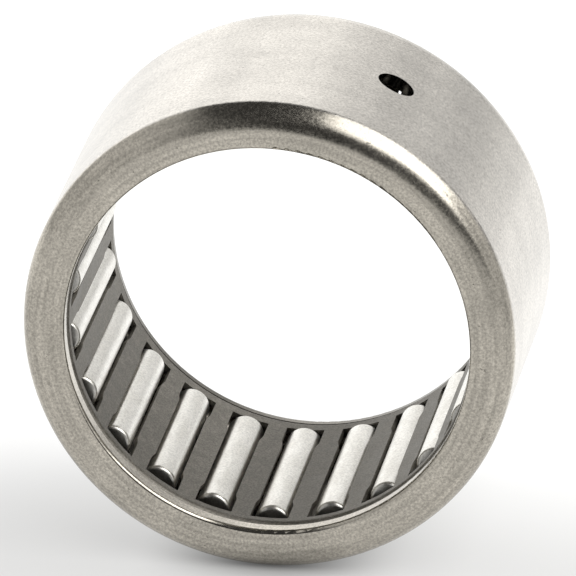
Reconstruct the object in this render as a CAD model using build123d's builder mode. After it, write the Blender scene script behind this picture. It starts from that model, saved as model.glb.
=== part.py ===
from build123d import *
import math
import os

# Needle roller bearing with a drawn cup, a one-piece cage and an oil hole.
# The bearing's axis is Y, its centre is the origin, and it stands on its rim with +Z up.
# Angles round the bearing run from +Z towards +X. All sizes are in millimetres.

INCH = 25.4

# Driving dimensions
shaft_diameter = 1.0 * INCH
outside_diameter = 1.25 * INCH
cup_width = 0.75 * INCH

# Needle rollers
needle_diameter = 3 / 32 * INCH
needle_length = 13.85
needle_count = 22
first_needle_angle = 0.6
needle_shift = 0.555
needle_clearance = 0.02
needle_crown_radius = 5.0
needle_edge_radius = 0.28

# Drawn cup
front_corner_depth = 1.95
front_corner_width = 1.35
back_corner_radius = 2.3
lip_bore_radius = 13.06
lip_edge_radius = 0.28
front_lip_thickness = 1.05
back_lip_thickness = 0.7
front_fillet = 0.55
back_fillet = 1.25
oil_hole_diameter = 2.5
oil_hole_angle = 25.7
oil_hole_shift = 0.1

# Cage
cage_inner_radius = 12.96
cage_sheet = 0.35
cage_front_end = -8.4
cage_back_end = 8.75
cage_bend_radius = 0.4
front_flange_radius = 14.6
back_flange_radius = 13.8

# Cage pockets
pocket_length = 15.05
pocket_narrow_length = 9.3
pocket_wide_length = 2.2
pocket_narrow_angle = 4.78
pocket_wide_angle = 5.45
pocket_cut_start = 12.8
pocket_cut_depth = 0.7

# Sizes worked out from them
outside_radius = outside_diameter / 2
half_width = cup_width / 2
needle_radius = needle_diameter / 2
pitch_radius = shaft_diameter / 2 + needle_radius
raceway_radius = pitch_radius + needle_radius + needle_clearance
front_lip_back = front_lip_thickness - half_width
back_lip_back = half_width - back_lip_thickness
cage_outer_radius = cage_inner_radius + cage_sheet


def radial_direction(angle):
    """Unit vector that points away from the bearing's axis at this angle."""
    turn = math.radians(angle)
    return Vector(math.sin(turn), 0, math.cos(turn))


def point_at(angle, radius, height):
    """Point at this angle and radius, this far along the bearing's axis."""
    return radial_direction(angle) * radius + Vector(0, height, 0)


os.makedirs("parts", exist_ok=True)

# Drawn cup: a thin hardened shell, with both ends curled in as lips that keep the cage inside.
# The marked front lip is the thicker one. The back lip is thinned before it is rolled over, and
# leaves a rounder corner. The front corner is flatter along the axis than across it.
with BuildPart() as drawn_cup:
    with BuildSketch(Plane.XY):
        with BuildLine():
            front_corner_centre = (outside_radius - front_corner_depth, front_corner_width - half_width)
            back_corner_centre = (outside_radius - back_corner_radius, half_width - back_corner_radius)
            front_edge_centre = (lip_bore_radius + lip_edge_radius, lip_edge_radius - half_width)
            back_edge_centre = (lip_bore_radius + lip_edge_radius, half_width - lip_edge_radius)
            front_root_centre = (raceway_radius - front_fillet, front_lip_back + front_fillet)
            back_root_centre = (raceway_radius - back_fillet, back_lip_back - back_fillet)
            front_corner = EllipticalCenterArc(
                front_corner_centre, front_corner_depth, front_corner_width, start_angle=270, arc_size=90)
            wall = Line((outside_radius, front_corner_centre[1]), (outside_radius, back_corner_centre[1]))
            back_corner = CenterArc(back_corner_centre, back_corner_radius, 0, 90)
            back_face = Line((back_corner_centre[0], half_width), (back_edge_centre[0], half_width))
            back_edge = CenterArc(back_edge_centre, lip_edge_radius, 90, 90)
            back_bore = Line((lip_bore_radius, back_edge_centre[1]), (lip_bore_radius, back_lip_back))
            back_inside = Line((lip_bore_radius, back_lip_back), (back_root_centre[0], back_lip_back))
            back_root = CenterArc(back_root_centre, back_fillet, 90, -90)
            raceway = Line((raceway_radius, back_root_centre[1]), (raceway_radius, front_root_centre[1]))
            front_root = CenterArc(front_root_centre, front_fillet, 0, -90)
            front_inside = Line((front_root_centre[0], front_lip_back), (lip_bore_radius, front_lip_back))
            front_bore = Line((lip_bore_radius, front_lip_back), (lip_bore_radius, front_edge_centre[1]))
            front_edge = CenterArc(front_edge_centre, lip_edge_radius, 180, 90)
            front_face = Line((front_edge_centre[0], -half_width), (front_corner_centre[0], -half_width))
        make_face()
    revolve(axis=Axis.Y)
    hole_plane = Plane(origin=(0, oil_hole_shift, 0), z_dir=radial_direction(oil_hole_angle))
    with BuildSketch(hole_plane):
        Circle(oil_hole_diameter / 2)
    extrude(amount=outside_diameter, mode=Mode.SUBTRACT)
drawn_cup.part.label = "drawn_cup"
export_step(drawn_cup.part, "parts/drawn_cup.step")

# Cage: thin steel strip formed to a ring, with flanged ends and one pocket for each needle.
# A pocket's long sides lie on radii and stand closer than the needle is thick, so that the
# needle can't drop into the bore. Its two ends are wider.
with BuildPart() as cage:
    with BuildSketch(Plane.XY):
        with BuildLine():
            bend_radius_centre = cage_inner_radius + cage_bend_radius
            inner_bend_radius = cage_bend_radius - cage_sheet
            front_bend_centre = (bend_radius_centre, cage_front_end + cage_bend_radius)
            back_bend_centre = (bend_radius_centre, cage_back_end - cage_bend_radius)
            inside = Line(
                (cage_inner_radius, front_bend_centre[1]), (cage_inner_radius, back_bend_centre[1]))
            back_bend = CenterArc(back_bend_centre, cage_bend_radius, 180, -90)
            back_flange = Polyline(
                (bend_radius_centre, cage_back_end),
                (back_flange_radius, cage_back_end),
                (back_flange_radius, cage_back_end - cage_sheet),
                (bend_radius_centre, cage_back_end - cage_sheet))
            back_inner_bend = CenterArc(back_bend_centre, inner_bend_radius, 90, 90)
            outside = Line(
                (cage_outer_radius, back_bend_centre[1]), (cage_outer_radius, front_bend_centre[1]))
            front_inner_bend = CenterArc(front_bend_centre, inner_bend_radius, 180, 90)
            front_flange = Polyline(
                (bend_radius_centre, cage_front_end + cage_sheet),
                (front_flange_radius, cage_front_end + cage_sheet),
                (front_flange_radius, cage_front_end),
                (bend_radius_centre, cage_front_end))
            front_bend = CenterArc(front_bend_centre, cage_bend_radius, 270, -90)
        make_face()
    revolve(axis=Axis.Y)
    for needle in range(needle_count):
        needle_angle = first_needle_angle + needle * 360 / needle_count
        outward = radial_direction(needle_angle)
        across = Vector(0, 1, 0).cross(outward)
        pocket_plane = Plane(
            origin=point_at(needle_angle, pocket_cut_start, 0), x_dir=across, z_dir=outward)
        with BuildSketch(pocket_plane):
            with BuildLine():
                narrow = pocket_cut_start * math.tan(math.radians(pocket_narrow_angle))
                wide = pocket_cut_start * math.tan(math.radians(pocket_wide_angle))
                Polyline(
                    (narrow, 0),
                    (narrow, pocket_narrow_length / 2),
                    (wide, pocket_length / 2 - pocket_wide_length),
                    (wide, pocket_length / 2),
                    (0, pocket_length / 2))
                mirror(about=Plane.XZ)
                mirror(about=Plane.YZ)
            make_face()
        extrude(amount=pocket_cut_depth, taper=-pocket_narrow_angle, mode=Mode.SUBTRACT)
cage.part.label = "cage"
export_step(cage.part, "parts/cage.step")

# Needle rollers: ground cylinders with crowned ends, one in each pocket
for needle in range(needle_count):
    needle_angle = first_needle_angle + needle * 360 / needle_count
    needle_centre = point_at(needle_angle, pitch_radius, needle_shift)
    outward = radial_direction(needle_angle)
    section = Plane(
        origin=needle_centre, x_dir=outward, z_dir=outward.cross(Vector(0, 1, 0)))
    with BuildPart() as needle_roller:
        with BuildSketch(section):
            with BuildLine():
                crown_angle = math.degrees(math.asin(needle_radius / needle_crown_radius))
                crown = CenterArc(
                    (0, needle_length / 2 - needle_crown_radius),
                    needle_crown_radius, 90, -crown_angle)
                side = Line(crown @ 1, (needle_radius, 0))
                mirror(about=Plane.XZ)
                spine = Line((0, -needle_length / 2), (0, needle_length / 2))
            make_face()
        revolve(axis=Axis(needle_centre, (0, 1, 0)))
        fillet(needle_roller.edges().filter_by(GeomType.CIRCLE), radius=needle_edge_radius)
    needle_name = f"needle_roller_{needle + 1:02d}"
    needle_roller.part.label = needle_name
    export_step(needle_roller.part, f"parts/{needle_name}.step")
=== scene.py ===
import math

import bpy
from mathutils import Matrix, Vector


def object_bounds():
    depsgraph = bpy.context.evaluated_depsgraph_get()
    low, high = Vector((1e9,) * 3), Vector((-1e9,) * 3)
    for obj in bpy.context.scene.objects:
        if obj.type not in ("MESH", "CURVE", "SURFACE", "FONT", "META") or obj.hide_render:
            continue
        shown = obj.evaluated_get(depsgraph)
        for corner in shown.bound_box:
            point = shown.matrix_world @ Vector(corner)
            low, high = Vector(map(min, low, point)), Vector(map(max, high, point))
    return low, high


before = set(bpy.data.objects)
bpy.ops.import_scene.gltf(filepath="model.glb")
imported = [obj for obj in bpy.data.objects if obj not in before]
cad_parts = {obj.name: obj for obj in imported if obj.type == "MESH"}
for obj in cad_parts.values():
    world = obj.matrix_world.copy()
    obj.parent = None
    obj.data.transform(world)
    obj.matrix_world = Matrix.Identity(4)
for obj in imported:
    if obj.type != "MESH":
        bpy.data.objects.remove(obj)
cad_low, cad_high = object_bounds()

# ---------------------------------------------------------------------------
# Drawn cup.
# A deep-drawn, case-hardened steel shell. The outside is centreless ground, and
# the two curled lips keep the tumbled, finely grained skin of the strip.
# ---------------------------------------------------------------------------

mm = 0.001


class Recipe:
    """A node tree that is put together one step at a time.

    Each method adds one step and returns its result, which later steps take in
    the same places as plain numbers.
    """

    def __init__(self, tree):
        self.nodes = tree.nodes
        self.links = tree.links

    def feed(self, socket, value):
        """Gives a socket a plain number or an earlier result."""
        if isinstance(value, (int, float)):
            socket.default_value = value
        else:
            self.links.new(value, socket)

    def worked(self, operation, *values):
        """One arithmetic step."""
        step = self.nodes.new("ShaderNodeMath")
        step.operation = operation
        for socket, value in zip(step.inputs, values):
            self.feed(socket, value)
        return step.outputs["Value"]

    def product(self, first, *others):
        """All the values multiplied together."""
        for other in others:
            first = self.worked("MULTIPLY", first, other)
        return first

    def total(self, first, *others):
        """All the values added together."""
        for other in others:
            first = self.worked("ADD", first, other)
        return first

    def rest_of(self, share):
        """One minus the share."""
        return self.worked("SUBTRACT", 1.0, share)

    def distance(self, across, upward):
        """Length of the diagonal: the root of the sum of the two squares."""
        squares = self.total(self.product(across, across), self.product(upward, upward))
        return self.worked("SQRT", squares)

    def ramp(self, value, low, high, to_low, to_high):
        """Carries low..high smoothly to to_low..to_high, and holds the ends beyond."""
        step = self.nodes.new("ShaderNodeMapRange")
        step.interpolation_type = "SMOOTHSTEP"
        step.inputs["From Min"].default_value = low
        step.inputs["From Max"].default_value = high
        step.inputs["To Min"].default_value = to_low
        step.inputs["To Max"].default_value = to_high
        self.links.new(value, step.inputs["Value"])
        return step.outputs["Result"]

    def stretched(self, stretch):
        """Object coordinates in metres, multiplied by stretch along each axis."""
        place = self.nodes.new("ShaderNodeTexCoord")
        scaled = self.nodes.new("ShaderNodeMapping")
        scaled.inputs["Scale"].default_value = stretch
        self.links.new(place.outputs["Object"], scaled.inputs["Vector"])
        return scaled.outputs["Vector"]

    def split(self, vector):
        """The three parts of a vector, by the names X, Y and Z."""
        parts = self.nodes.new("ShaderNodeSeparateXYZ")
        self.links.new(vector, parts.inputs["Vector"])
        return parts.outputs

    def place(self):
        """Object coordinates in metres, by the names X, Y and Z."""
        return self.split(self.stretched((1, 1, 1)))

    def noise(self, vector, detail, gain):
        """Noise between 0 and 1 that repeats about once per unit of the vector."""
        noise = self.nodes.new("ShaderNodeTexNoise")
        noise.inputs["Scale"].default_value = 1.0
        noise.inputs["Detail"].default_value = detail
        noise.inputs["Roughness"].default_value = gain
        self.links.new(vector, noise.inputs["Vector"])
        return noise.outputs["Fac"]

    def grain(self, stretch, detail, gain):
        """Noise whose features are 1/stretch metres long on each axis."""
        return self.noise(self.stretched(stretch), detail, gain)

    def ring_grain(self, radius, fine, slow):
        """Noise in rings about the axis: fine per metre outwards, slow per metre round it."""
        place = self.place()
        vector = self.nodes.new("ShaderNodeCombineXYZ")
        self.links.new(self.product(place["X"], slow), vector.inputs["X"])
        self.links.new(self.product(place["Z"], slow), vector.inputs["Y"])
        self.links.new(self.product(radius, fine), vector.inputs["Z"])
        return self.noise(vector.outputs["Vector"], 3.0, 0.5)

    def tinted(self, share, first, second):
        """A colour that goes from first to second as share goes from 0 to 1."""
        blend = self.nodes.new("ShaderNodeMix")
        blend.data_type = "RGBA"
        blend.clamp_factor = True
        self.links.new(share, blend.inputs["Factor"])
        blend.inputs["A"].default_value = (*first, 1.0)
        blend.inputs["B"].default_value = (*second, 1.0)
        return blend.outputs["Result"]

    def shaded(self, colour, share):
        """The colour multiplied by a grey share."""
        grey = self.nodes.new("ShaderNodeCombineColor")
        for channel in ("Red", "Green", "Blue"):
            self.links.new(share, grey.inputs[channel])
        blend = self.nodes.new("ShaderNodeMix")
        blend.data_type = "RGBA"
        blend.blend_type = "MULTIPLY"
        blend.inputs["Factor"].default_value = 1.0
        self.links.new(colour, blend.inputs["A"])
        self.links.new(grey.outputs["Color"], blend.inputs["B"])
        return blend.outputs["Result"]


class MetalFinish(Recipe):
    """A new metal finish, ready for its colour, gloss and relief."""

    def __init__(self, name):
        self.material = bpy.data.materials.new(name)
        self.material.use_nodes = True
        super().__init__(self.material.node_tree)
        self.metal = self.nodes["Principled BSDF"]
        self.metal.inputs["Metallic"].default_value = 1.0

    def coat(self, colour, roughness, height, depth):
        """Colours the metal, sets its gloss, and turns height 0..1 into relief of that depth."""
        self.links.new(colour, self.metal.inputs["Base Color"])
        self.links.new(roughness, self.metal.inputs["Roughness"])
        relief = self.nodes.new("ShaderNodeBump")
        relief.inputs["Strength"].default_value = 1.0
        relief.inputs["Distance"].default_value = depth
        self.links.new(height, relief.inputs["Height"])
        self.links.new(relief.outputs["Normal"], self.metal.inputs["Normal"])


lip_skin = (0.47, 0.44, 0.385)
ground_skin = (0.63, 0.60, 0.555)
ground_edge = (15.80 * mm, 15.86 * mm)
lip_edge = (13.35 * mm, 13.80 * mm)
back_lip_shade_edge = (13.45 * mm, 13.80 * mm)
back_lip_shade_start = (8.4 * mm, 8.7 * mm)
back_lip_shade_depth = 0.62
hole_angle = math.radians(25.7)
hole_shift = 0.1 * mm
hole_edge = (1.252 * mm, 1.262 * mm)
hole_shade_depth = 0.9
upper_side = (12.0 * mm, 12.5 * mm)
cup_relief = 1.2e-6

cup = MetalFinish("cup_steel_satin")
place = cup.place()
radius = cup.distance(place["X"], place["Z"])
ground = cup.ramp(radius, *ground_edge, 0.0, 1.0)
tumbled = cup.grain((6000, 6000, 6000), 4.0, 0.66)
rings = cup.ring_grain(radius, 3500.0, 150.0)
clouds = cup.grain((260, 420, 260), 4.0, 0.55)
grinding = cup.grain((220, 9000, 220), 4.0, 0.65)
pits = cup.ramp(cup.grain((3300, 3300, 3300), 2.0, 0.5), 0.71, 0.76, 0.0, 1.0)

cup_tone = cup.product(
    cup.ramp(tumbled, 0.25, 0.75, 0.70, 1.32),
    cup.ramp(clouds, 0.3, 0.7, 0.93, 1.06),
    cup.ramp(rings, 0.3, 0.7, 0.86, 1.12),
    cup.worked("MULTIPLY_ADD", pits, -0.35, 1.0),
)

# Painted shade: the wall of the oil hole and a thin ring round its mouth are darkened.
hole_side = cup.worked(
    "MULTIPLY_ADD", place["Z"], -math.sin(hole_angle),
    cup.product(place["X"], math.cos(hole_angle)),
)
hole_along = cup.worked("SUBTRACT", place["Y"], hole_shift)
painted_hole_shade = cup.product(
    cup.ramp(cup.distance(hole_side, hole_along), *hole_edge, hole_shade_depth, 0.0),
    cup.ramp(place["Z"], *upper_side, 0.0, 1.0),
)

# Painted shade: the edge of the back lip's bore is darkened.
painted_back_lip_shade = cup.product(
    cup.ramp(place["Y"], *back_lip_shade_start, 0.0, back_lip_shade_depth),
    cup.ramp(radius, *back_lip_shade_edge, 1.0, 0.0),
)
cup_tone = cup.product(cup_tone, cup.rest_of(painted_hole_shade), cup.rest_of(painted_back_lip_shade))

# The edges of the bore are rubbed smoother and brighter than the lips.
past_edge = cup.ramp(radius, *lip_edge, 0.0, 1.0)
cup_gloss = cup.product(
    cup.worked("MULTIPLY_ADD", pits, 0.2, cup.ramp(tumbled, 0.3, 0.7, 0.17, 0.25)),
    cup.worked("MULTIPLY_ADD", past_edge, 0.35, 0.65),
)
cup_height = cup.product(
    cup.worked("MULTIPLY_ADD", cup.product(grinding, ground), 0.5, tumbled),
    cup.worked("MULTIPLY_ADD", past_edge, 0.92, 0.08),
)
cup_skin = cup.shaded(cup.tinted(ground, lip_skin, ground_skin), cup_tone)
cup.coat(cup_skin, cup_gloss, cup_height, cup_relief)

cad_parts["drawn_cup"].material_slots[0].material = cup.material

# ---------------------------------------------------------------------------
# Cage.
# One strip of thin steel, rolled and welded, with its pockets punched and its
# ends bent outwards. Hardening leaves it dark grey and dull.
# ---------------------------------------------------------------------------

hardened_skin = (0.178, 0.167, 0.146)
worn_skin = (0.250, 0.236, 0.210)
cage_relief = 1.5e-6

cage = MetalFinish("cage_steel_dark")
scale_marks = cage.grain((900, 900, 900), 5.0, 0.62)
sand = cage.grain((8000, 8000, 8000), 2.0, 0.6)
worn = cage.ramp(scale_marks, 0.35, 0.7, 0.0, 1.0)
sand_tone = cage.ramp(sand, 0.25, 0.75, 0.72, 1.32)
cage_skin = cage.shaded(cage.tinted(worn, hardened_skin, worn_skin), sand_tone)
cage_gloss = cage.ramp(scale_marks, 0.3, 0.7, 0.46, 0.58)
cage.coat(cage_skin, cage_gloss, sand, cage_relief)

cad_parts["cage"].material_slots[0].material = cage.material

# ---------------------------------------------------------------------------
# Needle rollers.
# Through-hardened bearing steel wire, cut, tumbled round at the ends and then
# centreless ground, so fine lines run round each needle.
# ---------------------------------------------------------------------------

polished_skin = (0.88, 0.862, 0.815)
hazy_skin = (0.80, 0.78, 0.73)
front_end_span = (-6.28 * mm, -6.14 * mm)
back_end_span = (7.25 * mm, 7.39 * mm)
end_skin_and_shade_depth = 0.5
needle_relief = 1.5e-7

needle = MetalFinish("needle_steel_bright")
ground_lines = needle.grain((400, 9000, 400), 3.0, 0.6)
haze = needle.grain((1500, 400, 1500), 3.0, 0.55)
needle_grain = needle.grain((7000, 7000, 7000), 3.0, 0.6)

# The ends are darker: partly the unground skin of the heat treatment, and partly painted shade
# from the cage ends round them.
along = needle.place()["Y"]
end_skin_and_shade = needle.total(
    needle.ramp(along, *front_end_span, end_skin_and_shade_depth, 0.0),
    needle.ramp(along, *back_end_span, 0.0, end_skin_and_shade_depth),
)
needle_tone = needle.product(
    needle.ramp(needle_grain, 0.25, 0.75, 0.80, 1.16), needle.rest_of(end_skin_and_shade)
)
haze_share = needle.ramp(haze, 0.35, 0.7, 0.0, 1.0)
needle_skin = needle.shaded(needle.tinted(haze_share, polished_skin, hazy_skin), needle_tone)
needle_gloss = needle.ramp(haze, 0.3, 0.7, 0.29, 0.33)
needle.coat(needle_skin, needle_gloss, ground_lines, needle_relief)

for name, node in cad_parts.items():
    if name.startswith("needle_roller"):
        node.material_slots[0].material = needle.material

# ---------------------------------------------------------------------------
# Floor and light.
# A pale table top that glows a little with painted light, as under a light tent, grey walls at the
# sides, a bright wall at the back and one broad soft box over the right side.
# ---------------------------------------------------------------------------

floor_size = 3.0
floor_mesh = bpy.data.meshes.new("floor")
floor_mesh.from_pydata(
    [(x * floor_size, y * floor_size, cad_low.z) for x, y in ((-1, -1), (1, -1), (1, 1), (-1, 1))],
    [],
    [(0, 1, 2, 3)],
)
floor = bpy.data.objects.new("floor", floor_mesh)
bpy.context.scene.collection.objects.link(floor)
floor_finish = bpy.data.materials.new("floor_pale")
floor_finish.use_nodes = True
paint = floor_finish.node_tree.nodes["Principled BSDF"]
paint.inputs["Base Color"].default_value = (0.18, 0.18, 0.178, 1.0)
paint.inputs["Emission Color"].default_value = (1.0, 1.0, 0.995, 1.0)
paint.inputs["Roughness"].default_value = 0.9
paint.inputs["Specular IOR Level"].default_value = 0.0

table = Recipe(floor_finish.node_tree)
place = table.place()
# Painted light: the table's glow is dimmer towards the front and towards the right.
front_to_back = table.ramp(place["Y"], -12.0 * mm, 20.0 * mm, 0.52, 0.86)
right_dim = table.ramp(place["X"], 50.0 * mm, 100.0 * mm, 1.0, 0.62)
# Painted shadow: the glow is cut along the line where the cup stands on the table, where little
# light reaches.
painted_contact_shadow = table.product(
    table.ramp(table.worked("ABSOLUTE", place["X"]), 0.0, 9.0 * mm, 0.85, 0.0),
    table.ramp(table.worked("ABSOLUTE", place["Y"]), 8.0 * mm, 12.5 * mm, 1.0, 0.0),
)
painted_floor_glow = table.product(front_to_back, right_dim, table.rest_of(painted_contact_shadow))
table.links.new(painted_floor_glow, paint.inputs["Emission Strength"])
floor_mesh.materials.append(floor_finish)

room_light = (1.0, 0.995, 0.98)
gap_light = 0.06
box_light = 2.6

world = bpy.data.worlds.new("room")
bpy.context.scene.world = world
world.use_nodes = True
room = Recipe(world.node_tree)
way = room.split(room.nodes.new("ShaderNodeTexCoord").outputs["Generated"])

# Directions are flattened round the point straight overhead: 0 there, 1 at the horizon.
overhead = room.total(way["Z"], 1.0)
to_right = room.worked("DIVIDE", way["X"], overhead)
to_back = room.worked("DIVIDE", way["Y"], overhead)

# Grey walls on the left and right leave a dark gap overhead and towards the camera.
left_wall = room.ramp(to_right, -0.35, -0.24, 0.62, 0.0)
right_wall = room.product(
    room.ramp(to_right, 0.07, 0.14, 0.0, 0.66), room.ramp(to_back, -0.66, -0.46, 0.05, 1.0)
)
side_light = room.total(left_wall, right_wall, gap_light)

# The back wall is brightest at the left and duller behind the right side.
back_share = room.ramp(to_back, 0.40, 0.64, 0.0, 1.0)
back_wall = room.product(
    room.ramp(way["X"], -0.12, 0.26, 1.26, 0.74),
    room.ramp(way["X"], 0.42, 0.62, 1.0, 0.45),
    back_share,
)
wall_light = room.total(back_wall, room.product(side_light, room.rest_of(back_share)))

# One broad soft box hangs over the right side.
box = room.product(
    room.ramp(to_right, 0.08, 0.13, 0.0, 1.0),
    room.ramp(to_right, 0.48, 0.62, 1.0, 0.0),
    room.ramp(to_back, -0.54, -0.42, 0.0, 1.0),
    room.ramp(to_back, 0.20, 0.48, box_light, 0.0),
)
light = room.total(wall_light, box)

# Seen straight on, beyond the table's edge, the room is plain white.
seen = room.nodes.new("ShaderNodeLightPath")
straight = room.nodes.new("ShaderNodeMix")
straight.data_type = "FLOAT"
room.links.new(seen.outputs["Is Camera Ray"], straight.inputs["Factor"])
room.links.new(light, straight.inputs["A"])
straight.inputs["B"].default_value = 1.0
sky = room.nodes["Background"]
room.links.new(straight.outputs["Result"], sky.inputs["Strength"])
sky.inputs["Color"].default_value = (*room_light, 1.0)

lamp_data = bpy.data.lights.new("table_light", "SUN")
lamp_data.energy = 2.2
lamp_data.angle = math.radians(70)
lamp = bpy.data.objects.new("table_light", lamp_data)
bpy.context.scene.collection.objects.link(lamp)
lamp.visible_glossy = False
lamp_tilt = math.radians(12)
lamp.rotation_euler = (lamp_tilt, 0.0, 0.0)

# ---------------------------------------------------------------------------
# Camera.
# A long lens from the front, a little to the right and above.
# ---------------------------------------------------------------------------

camera_turn = math.radians(9.08)
camera_rise = math.radians(21.66)
camera_distance = 0.83496
camera_lens = 812.5
camera_across = 0.000044
camera_up = -0.000091
camera_ahead = -0.00041

back = Vector((
    math.sin(camera_turn) * math.cos(camera_rise),
    -math.cos(camera_turn) * math.cos(camera_rise),
    math.sin(camera_rise),
))
right = Vector((math.cos(camera_turn), math.sin(camera_turn), 0.0))
up = back.cross(right)
camera_data = bpy.data.cameras.new("camera")
camera_data.lens = camera_lens
camera_data.sensor_width = 36.0
camera_data.clip_start = 0.05
camera_data.clip_end = 20.0
camera = bpy.data.objects.new("camera", camera_data)
bpy.context.scene.collection.objects.link(camera)
camera_place = back * camera_distance - right * camera_across - up * camera_up
camera_place.y += camera_ahead
camera.matrix_world = Matrix((
    (right.x, up.x, back.x, camera_place.x),
    (right.y, up.y, back.y, camera_place.y),
    (right.z, up.z, back.z, camera_place.z),
    (0.0, 0.0, 0.0, 1.0),
))
bpy.context.scene.camera = camera
bpy.context.scene.view_settings.view_transform = "Standard"
